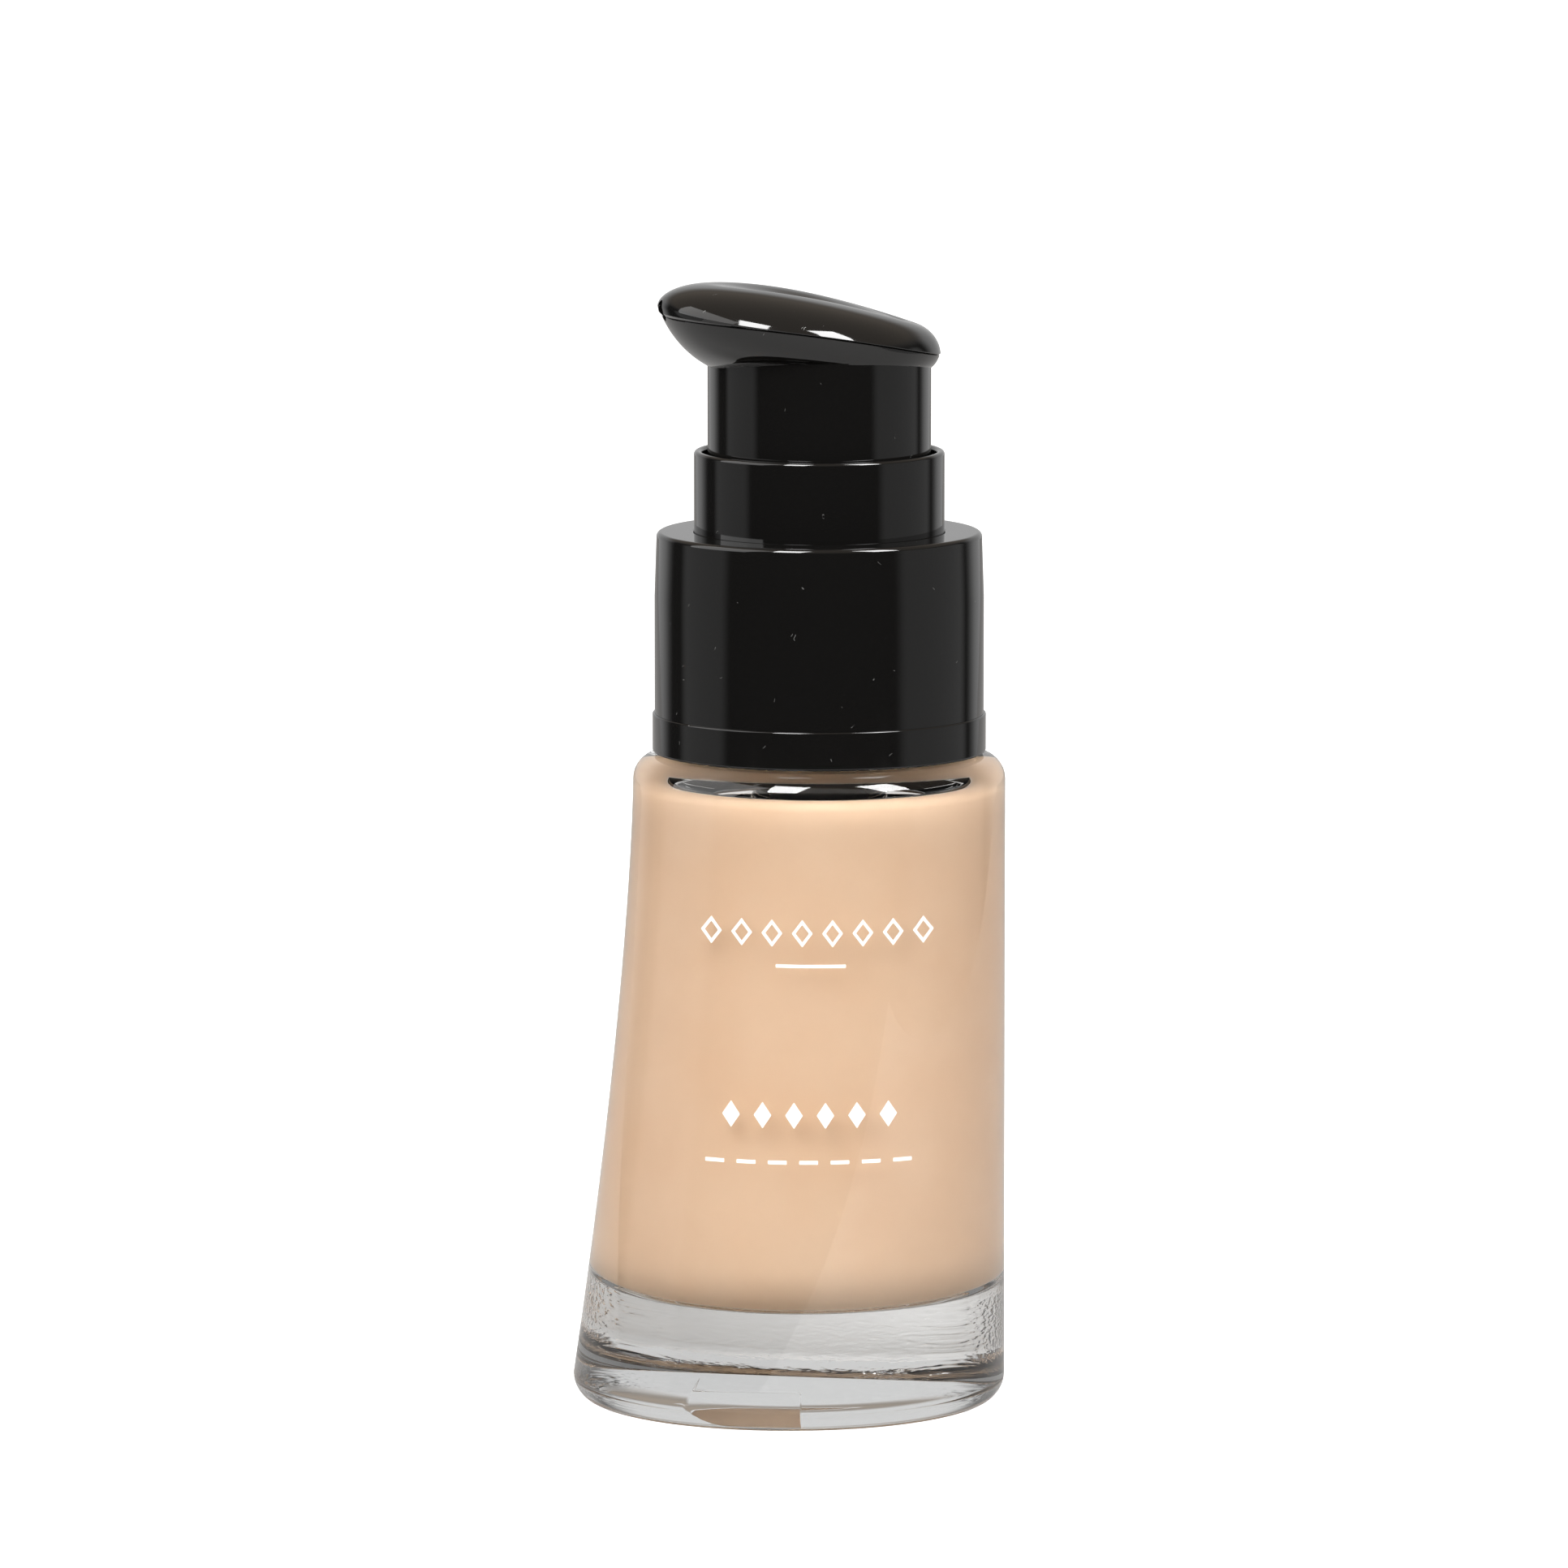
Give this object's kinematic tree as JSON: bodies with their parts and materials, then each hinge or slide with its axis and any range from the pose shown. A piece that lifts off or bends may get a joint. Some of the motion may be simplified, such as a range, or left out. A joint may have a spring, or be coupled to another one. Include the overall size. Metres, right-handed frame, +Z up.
{
  "type": "foundation pump bottle",
  "caption": "Thick-based glass pump bottle for liquid foundation, flared to one side, with a screw closure, gloss collar and swivelling oval pump head.",
  "frame": {"origin": "centre of the round base, on the surface the bottle stands on", "axes": "+Z up; +X towards the straight side of the glass; the slanted side and the nozzle are on the -X side, and the printed front faces -Y"},
  "size_m": [0.04, 0.04, 0.1041],
  "materials": {
    "clear_glass": "clear polished glass",
    "fluid": "opaque beige liquid",
    "black_plastic": "black moulded plastic",
    "black_gloss": "black polished plastic",
    "natural_plastic": "natural moulded plastic",
    "soft_seal": "soft sealing foam",
    "ball_glass": "glass ball",
    "spring_steel": "drawn spring wire"
  },
  "bodies": {
    "bottle": {"glass_bottle": "clear_glass", "foundation_fluid": "fluid"},
    "pump_unit": {"pump_housing": "black_plastic", "stem_guide": "natural_plastic", "stem_seal": "soft_seal", "neck_gasket": "soft_seal", "dip_tube": "natural_plastic", "pump_spring": "spring_steel"},
    "closure": {"screw_closure": "black_plastic", "collar_shell": "black_gloss"},
    "stem": {"pump_stem": "natural_plastic", "piston_rod": "natural_plastic"},
    "piston": {"pump_piston": "natural_plastic"},
    "inlet_ball": {"inlet_ball": "ball_glass"},
    "head": {"actuator_core": "black_plastic", "head_body": "black_gloss", "head_cover": "black_gloss"}
  },
  "joints": [
    {"name": "closure_lift", "type": "slide", "parent": "bottle", "child": "pump_unit", "axis": [0, 0, 1], "range_m": [0, 0.00476]},
    {"name": "closure_turn", "type": "hinge", "parent": "pump_unit", "child": "closure", "pos_m": [0.0028, 0, 0.0763], "axis": [0, 0, 1], "range_deg": [0, 540]},
    {"name": "pump_stroke", "type": "slide", "parent": "pump_unit", "child": "stem", "axis": [0, 0, -1], "range_m": [0, 0.005], "stiffness_N_per_m": 1000, "springref_m": -0.004, "deforming": ["pump_spring"]},
    {"name": "head_swivel", "type": "hinge", "parent": "stem", "child": "head", "pos_m": [0.0028, 0, 0.0925], "axis": [0, 0, 1], "continuous": true},
    {"name": "piston_slip", "type": "slide", "parent": "stem", "child": "piston", "axis": [0, 0, 1], "range_m": [0, 0.0004]},
    {"name": "inlet_ball_lift", "type": "slide", "parent": "pump_unit", "child": "inlet_ball", "axis": [0, 0, 1], "range_m": [0, 0.0018]}
  ],
  "couplings": [
    {"joint": "closure_lift", "follows": "closure_turn", "m_per_rad": 0.00050532}
  ]
}
